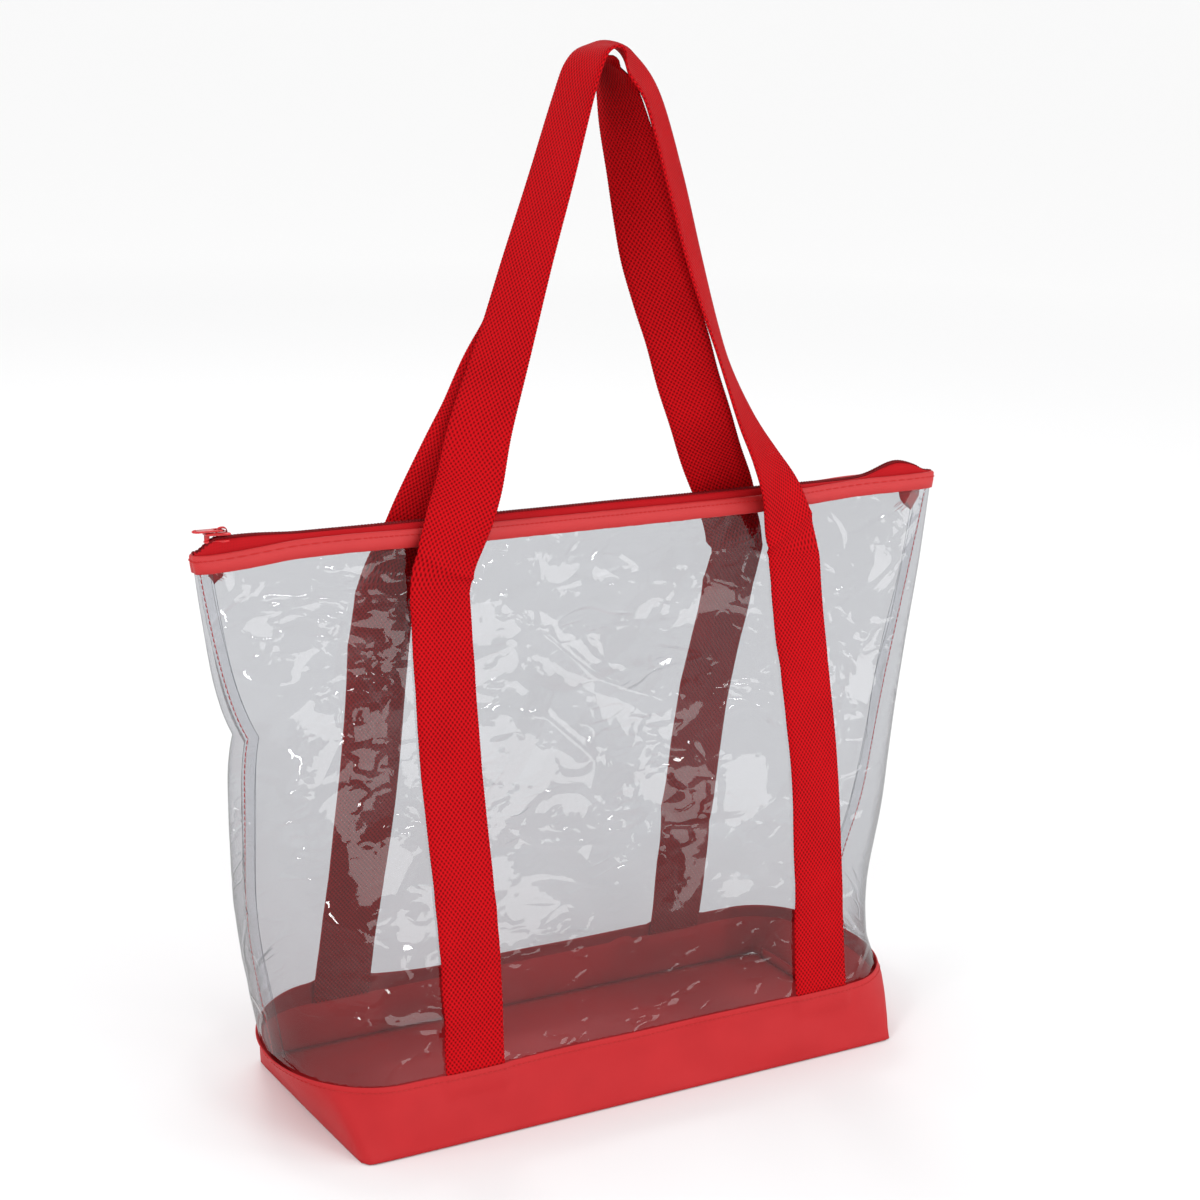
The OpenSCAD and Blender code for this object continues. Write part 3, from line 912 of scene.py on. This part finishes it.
def loop_rows(side):
    """Rows of the webbing along its path over the top."""
    sign = HALVES[side]
    path = loop_path(side)
    last = len(path) - 1
    rows = []
    for k, here in enumerate(path):
        along = (path[min(k + 3, last)] - path[max(k - 3, 0)]).to_3d().normalized()
        from_end = min(k, last - k) * RIB
        upright = ramp(from_end, 0, 14 * MM)
        along = Vector((0, 0, 1 if k < last / 2 else -1)).lerp(along, upright).normalized()
        level = Vector((math.cos(here.w), math.sin(here.w), 0))
        across = (level - along * level.dot(along)).normalized()
        thick = along.cross(across)
        cup = 0.8 * MM * wave(k * RIB * 14, sign * 3.3)
        bend = from_end - 17 * MM

        def face_at(a, out):
            dish = cup * (1 - (2 * a / STRAP_W) ** 2) * upright
            fold = 2.6 * MM * math.exp(-abs(bend + 0.25 * a) / (5 * MM))
            return here.to_3d() + across * a + thick * (out * STRAP_T / 2 + dish + sign * fold * upright)

        rows.append(strap_section(face_at, k))
    return rows


def webbing(side):
    """One length of webbing: up a leg, over the top, and down the other leg."""
    left, right = LEGS[side]
    rows = leg_rows(side, left, False) + loop_rows(side) + leg_rows(side, right, True)
    obj = grid(f"{side}_webbing", rows, wrap=True, caps=True)
    nodes = [f"{side}_leg_left", f"{side}_leg_right", f"{side}_handle_loop"]
    finish_piece(obj, WEBBING, nodes)
    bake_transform(obj)


# ---------------------------------------------------------------- slider, pull and tape ends
def rounded_block(bm, points, low, high, bevel):
    """Adds an extruded outline with rounded edges; points are (x, y) in metres."""
    bottom = [bm.verts.new((x, y, low)) for x, y in points]
    top = [bm.verts.new((x, y, high)) for x, y in points]
    n = len(points)
    faces = [bm.faces.new(bottom[::-1]), bm.faces.new(top)]
    faces += [bm.faces.new((bottom[i], bottom[(i + 1) % n], top[(i + 1) % n], top[i])) for i in range(n)]
    edges = list({e for f in faces for e in f.edges})
    bmesh.ops.bevel(bm, geom=edges, offset=bevel, segments=3, affect="EDGES", profile=0.6)


def arc(x, y, radius, first, last, count):
    """Points on a circle round (x, y), between two angles in degrees."""
    return [(x + radius * math.cos(math.radians(first + (last - first) * k / count)),
             y + radius * math.sin(math.radians(first + (last - first) * k / count)))
            for k in range(count + 1)]


def slider_body():
    """Two shield-shaped plates with a post between them."""
    low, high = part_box("slider_body")
    x0, x1, half = low[0], high[0], high[1]
    plate = 1.1 * MM
    side_points = [(x0, 0.62), (x0 + 4 * MM, 0.66), (x1 - 4 * MM, 1), (x1 - 0.5 * MM, 1), (x1, 0.6)]
    shield = [(x, -half * y) for x, y in side_points] + [(x1 - 1.5 * MM, 0)]
    shield += [(x, half * y) for x, y in reversed(side_points)]
    post = [(x0, -0.5 * MM), (x0 + 3 * MM, -0.2 * MM), (x0 + 3 * MM, 0.2 * MM), (x0, 0.5 * MM)]
    bm = bmesh.new()
    rounded_block(bm, shield, high[2] - plate, high[2], 0.25 * MM)
    rounded_block(bm, [(x, y * 0.5) for x, y in shield], low[2], low[2] + plate, 0.2 * MM)
    rounded_block(bm, post, low[2] + plate * 0.8, high[2] - plate * 0.8, 0.08 * MM)
    body = bmesh_object("zip_slider_body", bm)
    finish_piece(body, ENAMEL, ["slider_body"])
    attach(body, "zip_slider")


def slider_bridge():
    """The arch on top that holds the pull, wider than it is thick."""
    low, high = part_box("slider_bridge")
    mid = (low[0] + high[0]) / 2
    span, rise = (high[0] - low[0]) / 2 - 0.6 * MM, high[2] - low[2] - 0.6 * MM
    path = [Vector((mid + span * math.cos(a), 0, low[2] - 0.3 * MM + rise * abs(math.sin(a)) ** 0.6))
            for a in (math.pi * k / 16 for k in range(17))]
    rings = [[p + (q - p) * Vector((0, 1.7, 1)) if abs((q - p).y) > 0 else q for q in ring]
             for p, ring in zip(path, tube_rings(path, 0.6 * MM, 8))]
    bridge = grid("zip_slider_bridge", rings, wrap=True, caps=True)
    finish_piece(bridge, ENAMEL, ["slider_bridge"])
    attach(bridge, "zip_slider")


def pull_tab():
    """A short tab: a frame round the bridge's pin, and a tongue with a raised rim."""
    low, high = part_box("pull_tab")
    hinge_x, z = PULL_HINGE[0], PULL_HINGE[2]
    tip, half = low[0], high[1] * 0.98
    bm = bmesh.new()
    ring_end = hinge_x - 4.5 * MM
    tongue = [(ring_end, half * 0.95), *arc(tip + half, 0, half, 90, 270, 10), (ring_end, -half * 0.95)]
    rounded_block(bm, tongue, z - 0.45 * MM, z + 0.45 * MM, 0.2 * MM)
    for side_y in (-1, 1):
        bar = [(hinge_x + 0.5 * MM, side_y * half * 0.62), (hinge_x + 0.5 * MM, side_y * half),
               (ring_end - 0.5 * MM, side_y * half), (ring_end - 0.5 * MM, side_y * half * 0.62)]
        rounded_block(bm, bar[::side_y], z - 0.5 * MM, z + 0.5 * MM, 0.2 * MM)
    tab = bmesh_object("zip_pull_tab", bm)
    rim = [Vector((x, y, z + 0.45 * MM)) for x, y in arc(tip + half, 0, half * 0.72, 80, 280, 14)]
    pin = [Vector((hinge_x, y * half, z)) for y in (-1, -0.5, 0, 0.5, 1)]
    parts = [grid("pull_pin", tube_rings(pin, 0.5 * MM, 8), wrap=True, caps=True),
             grid("pull_rim", tube_rings(rim, 0.28 * MM, 6), wrap=True, caps=True)]
    join(tab, parts)
    finish_piece(tab, ENAMEL, ["pull_tab"])
    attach(tab, "zip_pull")


# Outline of a cut end of the tape: x towards the seam, and z, in millimetres.
SCRAP = [(2, 0), (-12, 1), (-10, -6), (-7, -9), (-5.5, -7.5), (-3, -12), (-1.5, -8.5), (1.5, -5)]


def loose_yarns(tip, end, reach):
    """Bowed threads that hang from the cut end."""
    yarns = []
    for _ in range(14):
        x = tip.x - end * random.uniform(2, 10) * reach * MM
        z = tip.z - random.uniform(3, 9) * reach * MM
        lean = -end * random.uniform(0.2, 1.0)
        length = random.uniform(3, 8) * reach * MM
        bow = random.uniform(-1, 1) * MM
        drop = length * (0.25 + 0.5 * abs(bow) / MM)
        yarns.append([Vector((x + lean * length * t, bow * math.sin(3 * t), z - drop * t))
                      for t in (0, 0.3, 0.6, 1)])
    return yarns


def tape_tail(end, reach):
    """The frayed end of the zip tape inside the corner, reach times its usual size."""
    name = END_NAMES[end]
    edge = shell(end, BINDING_LOW, -1)
    tip = Vector((edge.x - end * 7.5 * MM, -2 * MM, edge.z + 2.5 * MM))
    bm = bmesh.new()
    points = [(end * x * reach * MM, z * reach * MM) for x, z in SCRAP]
    front = [bm.verts.new((tip.x + x, (0.8 * wave(x * 200, z * 200) - 0.3) * MM, tip.z + z))
             for x, z in points]
    back = [bm.verts.new(v.co + Vector((0, 0.5 * MM, 0))) for v in front]
    n = len(points)
    bm.faces.new(front)
    bm.faces.new(back[::-1])
    for i in range(n):
        bm.faces.new((front[(i + 1) % n], front[i], back[i], back[(i + 1) % n]))
    bmesh.ops.triangulate(bm, faces=[f for f in bm.faces if len(f.verts) > 4])
    obj = bmesh_object(f"tape_end_{name}", bm)
    join(obj, [thread_mesh("yarns", loose_yarns(tip, end, reach), 0.14 * MM, 4)])
    finish_piece(obj, TAPE_CLOTH, [f"zip_tail_{name}"])
    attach(obj, "bag")


# ---------------------------------------------------------------- the bag
for half in HALVES:
    vinyl(half)
    swept_layer(half, "binding", binding_profile, BINDING_CLOTH)
    swept_layer(half, "zip_tape", tape_profile, TAPE_CLOTH)
    zip_coil(half)
    binding_stitches(half)
    webbing(half)
base_band()
hem_stitches()
base_floor()
for end in END_NAMES:
    boxed_corner(end)
    side_seam(end)
    seam_stitches(end)
tape_tail(-1, 0.7)
tape_tail(1, 1.3)
slider_body()
slider_bridge()
pull_tab()


# ---------------------------------------------------------------- studio
def toward(azimuth, elevation):
    """The direction at these angles, in degrees, round from the front and up."""
    a, e = math.radians(azimuth), math.radians(elevation)
    return Vector((math.sin(a) * math.cos(e), -math.cos(a) * math.cos(e), math.sin(e)))


def area_light(name, azimuth, elevation, size, power):
    """A soft box that faces the middle of the bag."""
    target = Vector((0, 0, 0.28))
    away = toward(azimuth, elevation)
    light = bpy.data.lights.new(name, "AREA")
    light.shape = "RECTANGLE"
    light.size, light.size_y = size
    light.energy = power
    obj = bpy.data.objects.new(name, light)
    obj.location = target + away * 2.4
    obj.rotation_euler = away.to_track_quat("Z", "Y").to_euler()
    obj.visible_camera = False
    bpy.context.collection.objects.link(obj)


# Lights: azimuth and elevation in degrees, size in metres, power in watts.
LIGHTS = {
    "key": (-66, 36, (0.5, 0.5), 10),
    "window": (54, 12, (0.6, 1.2), 8),
    "panel": (16, -2, (1.1, 0.6), 6.5),
    "strip_left": (-14, 14, (0.10, 0.8), 7),
    "strip_high": (20, 34, (0.9, 0.10), 7.5),
    "side": (-104, 10, (0.3, 1.0), 6),
    "rim": (165, 40, (0.8, 0.4), 8),
}


def pale_floor():
    """A disc out to the horizon, with painted shade: a little greyer under the bag."""
    bm = bmesh.new()
    bmesh.ops.create_circle(bm, cap_ends=True, segments=96, radius=120.0)
    floor = bmesh_object("floor", bm)
    floor.location.z = -0.3 * MM
    material, tree, bsdf = shader("pale_floor")
    place = add(tree, "ShaderNodeTexCoord").outputs["Object"]
    distance = add(tree, "ShaderNodeVectorMath", [(0, place)], operation="LENGTH").outputs["Value"]
    away = math_node(tree, "MULTIPLY", distance, 0.25, clamp=True)
    # painted shade: grey near the bag, paler out towards the horizon
    painted_shade_tone = ramp_node(tree, away, [(0.1, (0.81, 0.81, 0.815)), (1.0, (0.97, 0.97, 0.97))])
    tree.links.new(painted_shade_tone, bsdf.inputs["Base Color"])
    bsdf.inputs["Roughness"].default_value = 0.9
    floor.data.materials.append(material)


def studio():
    """A white surround with soft boxes."""
    world = bpy.data.worlds.new("studio")
    world.use_nodes = True
    background = world.node_tree.nodes["Background"]
    background.inputs["Color"].default_value = (1, 1, 1, 1)
    background.inputs["Strength"].default_value = 0.98
    bpy.context.scene.world = world
    for name, values in LIGHTS.items():
        area_light(name, *values)


def camera():
    """The viewing angle: orbit, roll and lens round a target inside the bag."""
    roll = math.radians(1.90)
    distance, lens = 1.4427, 72.54
    target = Vector((0.0031, 0, 0.2907))
    back = toward(-31.12, 14.88)
    right = Vector((0, 0, 1)).cross(back).normalized()
    up = back.cross(right)
    x_axis = right * math.cos(roll) + up * math.sin(roll)
    y_axis = up * math.cos(roll) - right * math.sin(roll)
    data = bpy.data.cameras.new("camera")
    data.lens = lens
    data.sensor_width = 36
    obj = bpy.data.objects.new("camera", data)
    turn = Matrix((x_axis, y_axis, back)).transposed().to_4x4()
    obj.matrix_world = Matrix.Translation(target + back * distance) @ turn
    bpy.context.collection.objects.link(obj)
    bpy.context.scene.camera = obj


pale_floor()
studio()
camera()
bpy.context.scene.view_settings.view_transform = "Standard"
